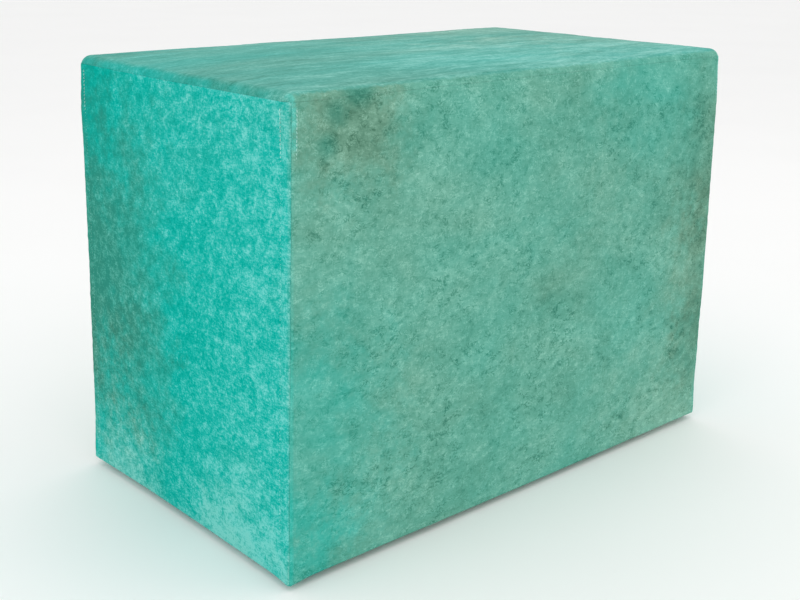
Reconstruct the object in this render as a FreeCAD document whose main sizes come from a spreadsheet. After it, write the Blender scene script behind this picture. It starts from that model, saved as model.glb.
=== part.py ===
import FreeCAD, Part
import os

import Sketcher
from FreeCAD import Placement, Rotation, Vector

# An upholstered standing block: a screwed plywood carcass on four rubber feet, padded with
# foam on its sides and top and dressed in a sewn cover of five cloth panels, whose edges are
# folded under the carcass and stapled. Millimetres, +Z up. The origin is on the floor under
# the middle of the block, +X runs along its length and -Y is its front.

doc = FreeCAD.newDocument("standing_block")

# The driving dimensions: alias, millimetres, what it is.
DIMENSIONS = [
    ("block_length", 700, "outside length, along X"),
    ("block_width", 400, "outside width, along Y"),
    ("block_height", 508, "height above the floor, with the feet"),
    ("cover_cloth", 2, "thickness of the cover's pile cloth with its backing"),
    ("side_foam", 20, "thickness of the four side pads"),
    ("top_foam", 30, "thickness of the top pad"),
    ("corner_round", 8, "outside radius of the upright edges"),
    ("top_round", 12, "outside radius of the top edges"),
    ("hem_round", 3.5, "outside radius of the bottom edges"),
    ("seam_drop", 9, "how far the top seam lies below the top"),
    ("flap_width", 58, "how far the cover is folded in underneath"),
    ("panel_ply", 12, "thickness of the carcass's four walls"),
    ("board_ply", 18, "thickness of the top board and the centre rib"),
    ("housing", 6, "depth of the rebates and housings cut in the long walls"),
    ("rib_groove", 5, "depth of the groove for the rib in the top board"),
    ("post_side", 30, "side of the square corner posts"),
    ("rail_ply", 20, "thickness of the base rails"),
    ("rail_height", 45, "height of the base rails"),
    ("under_cloth", 0.5, "thickness of the non-woven cloth underneath"),
    ("under_inset", 20, "from the outside faces to the edge of that cloth"),
    ("foot_height", 7.5, "height of a rubber foot"),
    ("foot_radius", 19, "radius of a foot at its top"),
    ("foot_taper", 2, "how much narrower a foot is at the floor"),
    ("foot_bevel", 1, "bevel around the bottom of a foot"),
    ("recess_radius", 8.5, "recess in a foot for its washer and screw head"),
    ("recess_depth", 4.5, "depth of that recess"),
    ("washer_radius", 7.5, "outside radius of a foot's washer"),
    ("washer_thick", 1, "thickness of a foot's washer"),
    ("screw_slack", 0.2, "clearance around a screw in its foot and washer"),
    ("panel_screw_shank", 2, "shank radius of a wall screw"),
    ("panel_screw_head", 4, "head radius of a wall screw"),
    ("panel_screw_long", 30, "length of a wall screw"),
    ("board_screw_shank", 2.25, "shank radius of a top board screw"),
    ("board_screw_head", 4.5, "head radius of a top board screw"),
    ("board_screw_long", 50, "length of a top board screw"),
    ("foot_screw_shank", 2, "shank radius of a foot screw"),
    ("foot_screw_head", 4, "head radius of a foot screw"),
    ("foot_screw_long", 25, "length of a foot screw under its head"),
    ("foot_screw_pan", 2.8, "height of a foot screw's pan head"),
    ("screw_tip", 4, "length of a screw's point"),
    ("drive_width", 1, "width of the arms of a screw's cross recess"),
    ("drive_span", 4.4, "span of the arms of a screw's cross recess"),
    ("drive_depth", 1.6, "depth of a screw's cross recess"),
    ("screw_stagger", 24, "height between the end wall screws and the long wall screws"),
    ("staple_crown", 9, "width of a staple"),
    ("staple_wire", 0.7, "side of a staple's wire"),
    ("staple_leg", 10, "length of a staple's legs"),
    ("sector_margin", 10, "how far the cutting solids reach past the block"),
]

sheet = doc.addObject("Spreadsheet::Sheet", "sizes")
for row, (alias, number, meaning) in enumerate(DIMENSIONS, start=1):
    sheet.set(f"A{row}", meaning)
    sheet.set(f"B{row}", str(number))
    sheet.setAlias(f"B{row}", alias)
doc.recompute()

# Places that several pieces share, as expressions of the sheet's cells. X and Y places are
# distances from the middle of the block, and Z places are heights above the floor.
HALF_X = "sizes.block_length / 2"
HALF_Y = "sizes.block_width / 2"
LINING_X = f"({HALF_X} - sizes.cover_cloth)"
LINING_Y = f"({HALF_Y} - sizes.cover_cloth)"
CARCASS_X = f"({LINING_X} - sizes.side_foam)"
CARCASS_Y = f"({LINING_Y} - sizes.side_foam)"
INNER_X = f"({CARCASS_X} - sizes.panel_ply)"
INNER_Y = f"({CARCASS_Y} - sizes.panel_ply)"
HOUSED_Y = f"({INNER_Y} + sizes.housing)"
POST_X = f"({INNER_X} - sizes.post_side / 2)"
POST_Y = f"({INNER_Y} - sizes.post_side / 2)"
RAIL_Y = f"({INNER_Y} - sizes.rail_ply)"
COVER_Z = "(sizes.foot_height + sizes.under_cloth)"
CARCASS_Z = f"({COVER_Z} + sizes.cover_cloth)"
BOARD_TOP_Z = "(sizes.block_height - sizes.cover_cloth - sizes.top_foam)"
BOARD_Z = f"({BOARD_TOP_Z} - sizes.board_ply)"
WALL_HEIGHT = f"({BOARD_Z} - {CARCASS_Z})"
RAIL_MIDDLE_Z = f"({CARCASS_Z} + sizes.rail_height / 2)"
SEAM_Z = "(sizes.block_height - sizes.seam_drop)"
RIB_HALF = "sizes.board_ply / 2"

SIDES = {"left": "-", "right": ""}  # the sign of X on each side
FACES = {"front": "-", "back": ""}  # the sign of Y on each side

sub_parts = []


def value(expression):
    """The number that an expression of the sheet's cells stands for."""
    return float(sheet.evalExpression(expression.replace("sizes.", "")))


def keep(thing, label):
    """Name a finished sub-part, and list it to be checked and written."""
    thing.Label = label
    sub_parts.append(thing)
    return thing


# ---------------------------------------------------------------- building blocks


def block(name, low, high):
    """A rectangular piece from its lowest to its highest corner, as expressions."""
    piece = doc.addObject("Part::Box", name)
    for side, axis, start, end in zip(("Length", "Width", "Height"), "xyz", low, high):
        piece.setExpression(side, f"{end} - ({start})")
        piece.setExpression(f"Placement.Base.{axis}", start)
    return piece


def new_sketch(body, plane):
    """An empty sketch on one of a body's own origin planes."""
    sketch = body.newObject("Sketcher::SketchObject", f"{body.Name}_outline")
    support = next(item for item in body.Origin.OriginFeatures if item.Role == plane)
    sketch.AttachmentSupport = [(support, "")]
    sketch.MapMode = "FlatFace"
    return sketch


def outline(body, plane, corners):
    """A closed sketch of straight lines whose corners are pairs of expressions."""
    sketch = new_sketch(body, plane)
    points = [Vector(value(across), value(up), 0) for across, up in corners]
    count = len(points)
    for i in range(count):
        sketch.addGeometry(Part.LineSegment(points[i], points[(i + 1) % count]), False)
    for i in range(count):
        sketch.addConstraint(Sketcher.Constraint("Coincident", i, 2, (i + 1) % count, 1))
    for i, (across, up) in enumerate(corners):
        pin_point(sketch, i, 1, f"corner_{i}", points[i], across, up)
    return sketch


def pin_point(sketch, geometry, end, name, point, across, up):
    """Bind one sketch point's two coordinates to expressions."""
    for axis, expression, number in (("X", across, point.x), ("Y", up, point.y)):
        pin = Sketcher.Constraint(f"Distance{axis}", -1, 1, geometry, end, number)
        index = sketch.addConstraint(pin)
        sketch.renameConstraint(index, f"{name}_{axis}")
        sketch.setExpression(f"Constraints.{name}_{axis}", expression)


def padded_outline(name, plane, corners, length, middle=False):
    """A body made by padding one outline to a length."""
    body = doc.addObject("PartDesign::Body", name)
    pad = body.newObject("PartDesign::Pad", f"{name}_pad")
    pad.Profile = outline(body, plane, corners)
    pad.Midplane = middle
    pad.setExpression("Length", length)
    return body


def turned_outline(name, corners):
    """A body made by turning one outline, drawn in X and Z, about the Z axis."""
    body = doc.addObject("PartDesign::Body", name)
    turn = body.newObject("PartDesign::Revolution", f"{name}_turn")
    turn.Profile = outline(body, "XZ_Plane", corners)
    turn.ReferenceAxis = (turn.Profile[0], ["V_Axis"])
    turn.Angle = 360
    return body


def cut_pocket(body, corners, depth, upwards):
    """Cut an outline on the body's XY plane into it, and make sure that it did cut."""
    doc.recompute()
    before = body.Shape.Volume
    pocket = body.newObject("PartDesign::Pocket", f"{body.Name}_pocket")
    pocket.Profile = outline(body, "XY_Plane", corners)
    pocket.Reversed = upwards
    pocket.setExpression("Length", depth)
    doc.recompute()
    if not body.Shape.Volume < before:
        raise RuntimeError(f"{pocket.Name} cuts nothing")


def place(thing, x, y, z, turn=None):
    """Turn a piece, then move its origin to a point given as expressions."""
    thing.Placement = Placement(Vector(0, 0, 0), turn or Rotation())
    for axis, expression in zip("xyz", (x, y, z)):
        thing.setExpression(f"Placement.Base.{axis}", expression)
    return thing


def repeated(master, name, places):
    """A group of separate copies of a master piece, each at its (x, y, z, turn)."""
    copies = []
    for i, (x, y, z, turn) in enumerate(places):
        link = doc.addObject("App::Link", f"{name}_{i}")
        link.LinkedObject = master
        copies.append(place(link, x, y, z, turn))
    group = doc.addObject("Part::Compound", name)
    group.Links = copies
    return group


def driven(screw, bore, label, places):
    """Keep a node of driven screws, and give the solid bores that they need."""
    keep(repeated(screw, f"{label}_group", places), label)
    return repeated(bore, f"{label}_bores", places)


def bored(blank, label, *fasteners):
    """The finished piece: its blank with the fasteners' holes."""
    tool = fasteners[0]
    if len(fasteners) > 1:
        tool = doc.addObject("Part::Compound", f"{label}_fasteners")
        tool.Links = list(fasteners)
    piece = doc.addObject("Part::Cut", f"{label}_bored")
    piece.Base = blank
    piece.Tool = tool
    return keep(piece, label)


def shared(first, second, name):
    """The space that two solids share."""
    common = doc.addObject("Part::Common", name)
    common.Base = first
    common.Tool = second
    return common


# ---------------------------------------------------------------- fasteners

DRIVE_ARM = "sizes.drive_width / 2"
DRIVE_END = "sizes.drive_span / 2"
CROSS = [
    (DRIVE_ARM, DRIVE_ARM), (DRIVE_ARM, DRIVE_END), (f"-{DRIVE_ARM}", DRIVE_END),
    (f"-{DRIVE_ARM}", DRIVE_ARM), (f"-{DRIVE_END}", DRIVE_ARM), (f"-{DRIVE_END}", f"-{DRIVE_ARM}"),
    (f"-{DRIVE_ARM}", f"-{DRIVE_ARM}"), (f"-{DRIVE_ARM}", f"-{DRIVE_END}"),
    (DRIVE_ARM, f"-{DRIVE_END}"), (DRIVE_ARM, f"-{DRIVE_ARM}"),
    (DRIVE_END, f"-{DRIVE_ARM}"), (DRIVE_END, DRIVE_ARM),
]  # fmt: skip


def screw_and_bore(name, corners):
    """A screw with a cross recess in its head, and the solid bore that it fills."""
    screw = turned_outline(name, corners)
    cut_pocket(screw, CROSS, "sizes.drive_depth", upwards=False)
    return screw, turned_outline(f"{name}_bore", corners)


def countersunk_screw(name):
    """A wood screw pointing down, with the top of its flat head at its origin."""
    shank, head, long = (f"sizes.{name}_{part}" for part in ("shank", "head", "long"))
    return screw_and_bore(name, [
        ("0", "0"),
        (head, "0"),
        (shank, f"{shank} - {head}"),
        (shank, f"sizes.screw_tip - {long}"),
        ("0", f"-{long}"),
    ])  # fmt: skip


def pan_screw(name):
    """A screw pointing down, with the top of its pan head at its origin."""
    shank, head, long, pan = (f"sizes.{name}_{part}" for part in ("shank", "head", "long", "pan"))
    return screw_and_bore(name, [
        ("0", "0"),
        (f"{head} * 0.7", "0"),
        (head, f"-{pan} * 0.4"),
        (head, f"-{pan}"),
        (shank, f"-{pan}"),
        (shank, f"sizes.screw_tip - {long} - {pan}"),
        ("0", f"-{long} - {pan}"),
    ])  # fmt: skip


def staple(name):
    """A staple driven upwards, with the middle of its crown's underside at its origin."""
    outer, wire, leg = "sizes.staple_crown / 2", "sizes.staple_wire", "sizes.staple_leg"
    inner = f"({outer} - {wire})"
    return padded_outline(name, "XZ_Plane", [
        (f"-{outer}", "0"),
        (outer, "0"),
        (outer, leg),
        (inner, leg),
        (inner, wire),
        (f"-{inner}", wire),
        (f"-{inner}", leg),
        (f"-{outer}", leg),
    ], wire, middle=True)  # fmt: skip


DRIVEN_UP = Rotation(Vector(1, 0, 0), 180)
DRIVEN_IN = {
    "front": Rotation(Vector(1, 0, 0), 90),
    "back": Rotation(Vector(1, 0, 0), -90),
    "left": Rotation(Vector(0, 1, 0), -90),
    "right": Rotation(Vector(0, 1, 0), 90),
}
POST_PLACES = [(f"{sx}{POST_X}", f"{sy}{POST_Y}") for sx in SIDES.values() for sy in FACES.values()]
WALL_LEVELS = [f"({CARCASS_Z} + {WALL_HEIGHT} * {k} / 5)" for k in (1, 2, 3, 4)]
END_LEVELS = [f"({level} + sizes.screw_stagger)" for level in WALL_LEVELS]
RIB_SCREW_Y = [f"{INNER_Y} * {k} * 0.6" for k in (-1, 0, 1)]


def panel_screws():
    """The countersunk screws of the four walls: into the posts, the rib and the rails."""
    screw, bore = countersunk_screw("panel_screw")
    bores = {}
    for face, sign in FACES.items():
        across = [f"-{POST_X}", "0", POST_X]
        spots = [(x, level) for x in across for level in WALL_LEVELS]
        spots += [(f"{s}{POST_X} / 2", RAIL_MIDDLE_Z) for s in SIDES.values()]
        places = [(x, f"{sign}{CARCASS_Y}", z, DRIVEN_IN[face]) for x, z in spots]
        bores[face] = driven(screw, bore, f"{face}_panel_screws", places)
    for side, sign in SIDES.items():
        across = [f"-{POST_Y}", POST_Y]
        spots = [(y, level) for y in across for level in END_LEVELS]
        spots += [(f"{s}{POST_Y} / 2", RAIL_MIDDLE_Z) for s in FACES.values()]
        places = [(f"{sign}{CARCASS_X}", y, z, DRIVEN_IN[side]) for y, z in spots]
        bores[side] = driven(screw, bore, f"{side}_end_screws", places)
    return bores


def board_screws():
    """The countersunk screws through the top board into the posts and the rib."""
    screw, bore = countersunk_screw("board_screw")
    spots = POST_PLACES + [("0", y) for y in RIB_SCREW_Y]
    places = [(x, y, BOARD_TOP_Z, None) for x, y in spots]
    return driven(screw, bore, "top_board_screws", places)


def foot_fixings():
    """The washers in the feet, and the screws through them up into the posts."""
    seat = "(sizes.recess_depth - sizes.washer_thick)"
    hole = "(sizes.foot_screw_shank + sizes.screw_slack)"
    washer = turned_outline("washer", [
        (hole, "0"),
        ("sizes.washer_radius", "0"),
        ("sizes.washer_radius", "sizes.washer_thick"),
        (hole, "sizes.washer_thick"),
    ])  # fmt: skip
    seats = [(x, y, seat, None) for x, y in POST_PLACES]
    keep(repeated(washer, "washers", seats), "foot_washers")
    head = f"{seat} - sizes.foot_screw_pan"
    places = [(x, y, head, DRIVEN_UP) for x, y in POST_PLACES]
    return driven(*pan_screw("foot_screw"), "foot_screws", places)


def staple_ring(master, label, rows, level):
    """Staples around the underside: each row is (x, y, step x, step y, count, crown turn)."""
    places = []
    for x, y, step_x, step_y, count, turn in rows:
        for k in range(count):
            along = k - (count - 1) / 2
            places.append((f"{x} + {along * step_x}", f"{y} + {along * step_y}", level, turn))
    return keep(repeated(master, f"{label}_ring", places), label)


def ring_rows(at_x, at_y, step, long_count, short_count):
    """Rows of staples along both long sides and both ends, with their crowns in line."""
    across = Rotation(Vector(0, 0, 1), 90)
    rows = [("0", f"{sign}{at_y}", step, 0, long_count, None) for sign in FACES.values()]
    rows += [(f"{sign}{at_x}", "0", 0, step, short_count, across) for sign in SIDES.values()]
    return rows


def staples():
    """The cover's staples, sunk in its flaps, and the underside cloth's outside them."""
    master = staple("staple")
    rail_x = f"({INNER_X} - sizes.rail_ply / 2)"
    rail_y = f"({INNER_Y} - sizes.rail_ply / 2)"
    wall_x = f"({INNER_X} + sizes.panel_ply / 2)"
    wall_y = f"({INNER_Y} + sizes.panel_ply / 2)"
    cover_rows = ring_rows(rail_x, rail_y, step=45, long_count=13, short_count=6)
    cloth_rows = ring_rows(wall_x, wall_y, step=75, long_count=9, short_count=5)
    cloth_level = "sizes.foot_height - sizes.staple_wire"
    return (
        staple_ring(master, "cover_staples", cover_rows, COVER_Z),
        staple_ring(master, "cloth_staples", cloth_rows, cloth_level),
    )


# ---------------------------------------------------------------- carcass


def long_walls(screws, cloth_staples):
    """The front and back walls, rebated for the end walls and housed for the rib."""
    corners = [
        (f"-{CARCASS_X}", f"-{CARCASS_Y}"), (CARCASS_X, f"-{CARCASS_Y}"),
        (CARCASS_X, f"-{HOUSED_Y}"), (INNER_X, f"-{HOUSED_Y}"), (INNER_X, f"-{INNER_Y}"),
        (RIB_HALF, f"-{INNER_Y}"), (RIB_HALF, f"-{HOUSED_Y}"),
        (f"-{RIB_HALF}", f"-{HOUSED_Y}"), (f"-{RIB_HALF}", f"-{INNER_Y}"),
        (f"-{INNER_X}", f"-{INNER_Y}"), (f"-{INNER_X}", f"-{HOUSED_Y}"),
        (f"-{CARCASS_X}", f"-{HOUSED_Y}"),
    ]  # fmt: skip
    for face, degrees in (("front", 0), ("back", 180)):
        wall = padded_outline(f"{face}_wall", "XY_Plane", corners, WALL_HEIGHT)
        place(wall, "0", "0", CARCASS_Z, Rotation(Vector(0, 0, 1), degrees))
        bored(wall, f"{face}_panel", screws[face], cloth_staples)


def end_walls(screws, cloth_staples):
    """The two end walls, which stand in the rebates of the long walls."""
    reach = {"left": (f"-{CARCASS_X}", f"-{INNER_X}"), "right": (INNER_X, CARCASS_X)}
    for side, (near, far) in reach.items():
        wall = block(
            f"{side}_wall", (near, f"-{HOUSED_Y}", CARCASS_Z), (far, HOUSED_Y, BOARD_Z)
        )
        bored(wall, f"{side}_end_panel", screws[side], cloth_staples)


def centre_rib(screws, top_screws):
    """The rib under the middle of the top board, notched over the base rails."""
    foot, top = "sizes.rail_height", f"{WALL_HEIGHT} + sizes.rib_groove"
    rib = padded_outline("rib", "YZ_Plane", [
        (f"-{RAIL_Y}", "0"),
        (RAIL_Y, "0"),
        (RAIL_Y, foot),
        (HOUSED_Y, foot),
        (HOUSED_Y, top),
        (f"-{HOUSED_Y}", top),
        (f"-{HOUSED_Y}", foot),
        (f"-{RAIL_Y}", foot),
    ], "sizes.board_ply", middle=True)  # fmt: skip
    place(rib, "0", "0", CARCASS_Z)
    bored(rib, "centre_rib", screws["front"], screws["back"], top_screws)


def top_board(top_screws):
    """The board that carries the load, grooved underneath for the rib."""
    corners = [
        (f"-{CARCASS_X}", f"-{CARCASS_Y}"), (CARCASS_X, f"-{CARCASS_Y}"),
        (CARCASS_X, CARCASS_Y), (f"-{CARCASS_X}", CARCASS_Y),
    ]  # fmt: skip
    groove = [
        (f"-{RIB_HALF}", f"-{HOUSED_Y}"), (RIB_HALF, f"-{HOUSED_Y}"),
        (RIB_HALF, HOUSED_Y), (f"-{RIB_HALF}", HOUSED_Y),
    ]  # fmt: skip
    board = padded_outline("board", "XY_Plane", corners, "sizes.board_ply")
    cut_pocket(board, groove, "sizes.rib_groove", upwards=True)
    place(board, "0", "0", BOARD_Z)
    bored(board, "top_board", top_screws)


def corner_posts(screws, top_screws, foot_screws):
    """The square posts inside the four corners, which take the load down to the feet."""
    half = "sizes.post_side / 2"
    for face, sign_y in FACES.items():
        for side, sign_x in SIDES.items():
            low = (f"{sign_x}{POST_X} - {half}", f"{sign_y}{POST_Y} - {half}")
            high = (f"{sign_x}{POST_X} + {half}", f"{sign_y}{POST_Y} + {half}")
            name = f"corner_post_{face}_{side}"
            post = block(f"{name}_blank", (*low, CARCASS_Z), (*high, BOARD_Z))
            bored(post, name, screws[face], screws[side], top_screws, foot_screws)


def base_rails(screws, cover_staples):
    """The rails between the posts, along the bottom of the walls."""
    end_x = f"({INNER_X} - sizes.post_side)"
    end_y = f"({INNER_Y} - sizes.post_side)"
    rail_x = f"({INNER_X} - sizes.rail_ply)"
    top = f"{CARCASS_Z} + sizes.rail_height"
    spans = {
        "front": ((f"-{end_x}", f"-{INNER_Y}"), (end_x, f"-{RAIL_Y}")),
        "back": ((f"-{end_x}", RAIL_Y), (end_x, INNER_Y)),
        "left": ((f"-{INNER_X}", f"-{end_y}"), (f"-{rail_x}", end_y)),
        "right": ((rail_x, f"-{end_y}"), (INNER_X, end_y)),
    }
    for side, (low, high) in spans.items():
        rail = block(f"{side}_rail", (*low, CARCASS_Z), (*high, top))
        bored(rail, f"base_rail_{side}", screws[side], cover_staples)


# ---------------------------------------------------------------- feet and underside


def feet():
    """Four turned rubber feet, each with a recess for its washer and screw head."""
    hole = "(sizes.foot_screw_shank + sizes.screw_slack)"
    floor_radius = "(sizes.foot_radius - sizes.foot_taper)"
    corners = [
        ("sizes.recess_radius", "0"),
        (f"{floor_radius} - sizes.foot_bevel", "0"),
        (floor_radius, "sizes.foot_bevel"),
        ("sizes.foot_radius", "sizes.foot_height"),
        (hole, "sizes.foot_height"),
        (hole, "sizes.recess_depth"),
        ("sizes.recess_radius", "sizes.recess_depth"),
    ]
    for face, sign_y in FACES.items():
        for side, sign_x in SIDES.items():
            foot = turned_outline(f"rubber_foot_{face}_{side}", corners)
            place(foot, f"{sign_x}{POST_X}", f"{sign_y}{POST_Y}", "0")
            keep(foot, f"foot_{face}_{side}")


def underside_cloth(foot_screws, cloth_staples):
    """The thin cloth that closes the underside, over the cover's flaps."""
    edge_x = f"({HALF_X} - sizes.under_inset)"
    edge_y = f"({HALF_Y} - sizes.under_inset)"
    cloth = block(
        "under_sheet",
        (f"-{edge_x}", f"-{edge_y}", "sizes.foot_height"),
        (edge_x, edge_y, COVER_Z),
    )
    bored(cloth, "underside_cloth", foot_screws, cloth_staples)


# ---------------------------------------------------------------- padding and cover


def rounded_block(name, inset):
    """The block's outside, or the same shape brought in by one thickness of cloth."""
    solid = block(
        f"{name}_square",
        (f"-{HALF_X} + {inset}", f"-{HALF_Y} + {inset}", f"{COVER_Z} + {inset}"),
        (f"{HALF_X} - {inset}", f"{HALF_Y} - {inset}", f"sizes.block_height - {inset}"),
    )
    doc.recompute()
    upright, top, hem = (
        value(f"sizes.{name} - {inset}") for name in ("corner_round", "top_round", "hem_round")
    )
    middle = solid.Shape.BoundBox.Center.z
    radii = []
    for index, edge in enumerate(solid.Shape.Edges, start=1):
        height = edge.BoundBox
        radius = upright if height.ZLength > 1 else top if height.ZMin > middle else hem
        radii.append((index, radius, radius))
    rounded = doc.addObject("Part::Fillet", name)
    rounded.Base = solid
    rounded.Edges = radii
    return rounded


def pads(inside):
    """The foam pads, which fill the cover around the carcass."""
    spans = {
        "front_pad": ((f"-{HALF_X}", f"-{HALF_Y}"), (HALF_X, f"-{CARCASS_Y}")),
        "back_pad": ((f"-{HALF_X}", CARCASS_Y), (HALF_X, HALF_Y)),
        "left_pad": ((f"-{HALF_X}", f"-{CARCASS_Y}"), (f"-{CARCASS_X}", CARCASS_Y)),
        "right_pad": ((CARCASS_X, f"-{CARCASS_Y}"), (HALF_X, CARCASS_Y)),
    }
    for label, (low, high) in spans.items():
        span = block(f"{label}_span", (*low, COVER_Z), (*high, BOARD_TOP_Z))
        keep(shared(inside, span, f"{label}_foam"), label)
    low = (f"-{HALF_X}", f"-{HALF_Y}", BOARD_TOP_Z)
    span = block("top_pad_span", low, (HALF_X, HALF_Y, "sizes.block_height"))
    keep(shared(inside, span, "top_pad_foam"), "top_pad")


def sector(name, outer, inner, half_outer, half_inner, degrees):
    """The upright wedge of space in front of one side, between its two mitre planes."""
    wedge = doc.addObject("Part::Wedge", name)
    for key, expression in {
        "Ymin": f"-({outer})", "Ymax": f"-({inner})",
        "Xmin": f"-({half_outer})", "Xmax": half_outer,
        "X2min": f"-({half_inner})", "X2max": half_inner,
        "Zmin": "0", "Zmax": SEAM_Z, "Z2min": "0", "Z2max": SEAM_Z,
    }.items():  # fmt: skip
        wedge.setExpression(key, expression)
    wedge.Placement = Placement(Vector(0, 0, 0), Rotation(Vector(0, 0, 1), degrees))
    return wedge


def cover(inside, *fasteners):
    """The five cloth panels: a top cap sewn to four sides, folded in underneath."""
    opening_x = f"({HALF_X} - sizes.flap_width)"
    opening_y = f"({HALF_Y} - sizes.flap_width)"
    skin = doc.addObject("Part::Cut", "cover_skin")
    skin.Base = rounded_block("cover_outside", "0")
    skin.Tool = inside
    shell = doc.addObject("Part::Cut", "cover_shell")
    shell.Base = skin
    shell.Tool = block(
        "cover_opening",
        (f"-{opening_x}", f"-{opening_y}", "0"),
        (opening_x, opening_y, f"{CARCASS_Z} + sizes.cover_cloth"),
    )
    low = (f"-{HALF_X}", f"-{HALF_Y}", SEAM_Z)
    cap = block("cover_cap", low, (HALF_X, HALF_Y, "sizes.block_height"))
    keep(shared(shell, cap, "cover_top_cloth"), "cover_top")
    past_x = f"{HALF_X} + sizes.sector_margin"
    past_y = f"{HALF_Y} + sizes.sector_margin"
    ridge = f"{HALF_X} - {HALF_Y}"
    for side, shape in {
        "front": (past_y, "0", past_x, ridge, 0),
        "back": (past_y, "0", past_x, ridge, 180),
        "left": (past_x, ridge, past_y, "0", -90),
        "right": (past_x, ridge, past_y, "0", 90),
    }.items():
        cloth = shared(shell, sector(f"{side}_sector", *shape), f"cover_{side}_cloth")
        bored(cloth, f"cover_{side}", *fasteners)


# ---------------------------------------------------------------- assembly


def build():
    screws = panel_screws()
    top_screws = board_screws()
    foot_screws = foot_fixings()
    cover_staples, cloth_staples = staples()

    long_walls(screws, cloth_staples)
    end_walls(screws, cloth_staples)
    centre_rib(screws, top_screws)
    top_board(top_screws)
    corner_posts(screws, top_screws, foot_screws)
    base_rails(screws, cover_staples)

    feet()
    underside_cloth(foot_screws, cloth_staples)

    inside = rounded_block("cover_inside", "sizes.cover_cloth")
    pads(inside)
    cover(inside, cover_staples, cloth_staples, foot_screws)


def check():
    """Stop if anything failed to build, or a sub-part isn't a sound solid."""
    for thing in doc.Objects:
        if {"Invalid", "Error"} & set(thing.State):
            raise RuntimeError(f"{thing.Name} is {thing.State}")
    for part in sub_parts:
        if part.Shape.isNull() or not part.Shape.isValid() or not part.Shape.Solids:
            raise RuntimeError(f"{part.Label} has no sound solid")


def write():
    """One STEP file for each sub-part, named after it."""
    os.makedirs("parts", exist_ok=True)
    for part in sub_parts:
        part.Shape.exportStep(os.path.join("parts", f"{part.Label}.step"))
        print(f"{part.Label:26s} {len(part.Shape.Solids):3d} solids {part.Shape.Volume:12.0f} mm3")


build()
doc.recompute()
check()
write()
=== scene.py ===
"""The looks of an upholstered mounting block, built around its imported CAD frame.

Metres. +X runs along the block, -Y is its front, +Z is up, and the floor is z = 0.
The sewn cover is five cloth panels, each made as a grid on the rounded block: four sides, which
turn in under the block, and a top. A coarse cloth simulation gives the padding its swell.
"""

import math

import bpy
import numpy as np
from mathutils import Matrix, Vector


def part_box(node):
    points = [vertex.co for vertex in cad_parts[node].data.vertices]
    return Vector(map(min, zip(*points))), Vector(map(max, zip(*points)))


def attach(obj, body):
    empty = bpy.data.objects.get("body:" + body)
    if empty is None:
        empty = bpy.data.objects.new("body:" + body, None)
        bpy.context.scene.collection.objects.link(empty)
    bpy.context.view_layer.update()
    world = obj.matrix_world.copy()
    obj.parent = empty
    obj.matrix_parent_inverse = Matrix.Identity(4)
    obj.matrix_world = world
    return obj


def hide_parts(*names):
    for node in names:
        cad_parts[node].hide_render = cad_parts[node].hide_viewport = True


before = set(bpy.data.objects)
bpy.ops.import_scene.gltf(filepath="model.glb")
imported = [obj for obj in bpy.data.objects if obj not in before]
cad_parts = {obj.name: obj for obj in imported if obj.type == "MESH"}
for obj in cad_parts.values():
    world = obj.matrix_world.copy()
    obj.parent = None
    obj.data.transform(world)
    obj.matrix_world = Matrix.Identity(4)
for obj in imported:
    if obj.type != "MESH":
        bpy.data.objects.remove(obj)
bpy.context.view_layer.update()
scene = bpy.context.scene

MM = 0.001
BODY = "root"

# ---- sizes: those of the frame, and the cover's own
SIDES = ("front", "right", "back", "left")
TOP_LOW, TOP_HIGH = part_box("cover_top")
FRONT_LOW, FRONT_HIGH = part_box("cover_front")
HALF = (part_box("cover_right")[1].x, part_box("cover_back")[1].y)
PAD_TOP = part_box("top_pad")[1].z
TOP_Z = TOP_HIGH.z
HEM_Z = FRONT_LOW.z
SEAM_Z = TOP_LOW.z
CLOTH = TOP_Z - PAD_TOP
FLAP = FRONT_HIGH.y - FRONT_LOW.y
TOP_EDGE = 12 * MM  # radius of the rounded top edge
HEM_EDGE = 3.5 * MM  # radius where the cloth turns under
CORNER = 8 * MM  # upright edges, in plan
TOP_CORNER = 14 * MM  # the same edges where they meet the top
HEM_CORNER = 4 * MM  # and where they meet the hem
CORNER_EASE = 60 * MM  # height over which one becomes the other
LEAST_CORNER = 1 * MM  # what is left of a corner inside the turned-in flap
SEAM_ANGLE = math.asin((TOP_EDGE - (TOP_Z - SEAM_Z)) / TOP_EDGE)

# ---- how the cloth is sewn
TURN = 0.9 * MM  # how far a seam's edge takes to roll in
GROOVE = 0.12 * MM
ALLOWANCE = 0.35 * MM  # the doubled cloth beside an upright seam stands proud
STITCH_ROWS = {"front": 5 * MM, "back": 5 * MM, "left": 13.5 * MM, "right": 13.5 * MM}
STITCH_PITCH = 4 * MM
STITCH_LENGTH = 2.9 * MM
THREAD = 0.34 * MM  # radius
CHANNEL = 0.6 * MM
CHANNEL_WIDTH = 0.8 * MM
PILE_CLOSES = 60 * MM  # this far below the top the pile closes over the thread
SUNK = {"front": 0.8 * MM, "back": 0.8 * MM, "left": 0.62 * MM, "right": 0.62 * MM}

# For each side, the way along it, to the right as seen from outside, and the way out.
ALONG = {"front": (1, 0), "right": (0, 1), "back": (-1, 0), "left": (0, -1)}
OUTWARD = {"front": (0, -1), "right": (1, 0), "back": (0, 1), "left": (-1, 0)}

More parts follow.
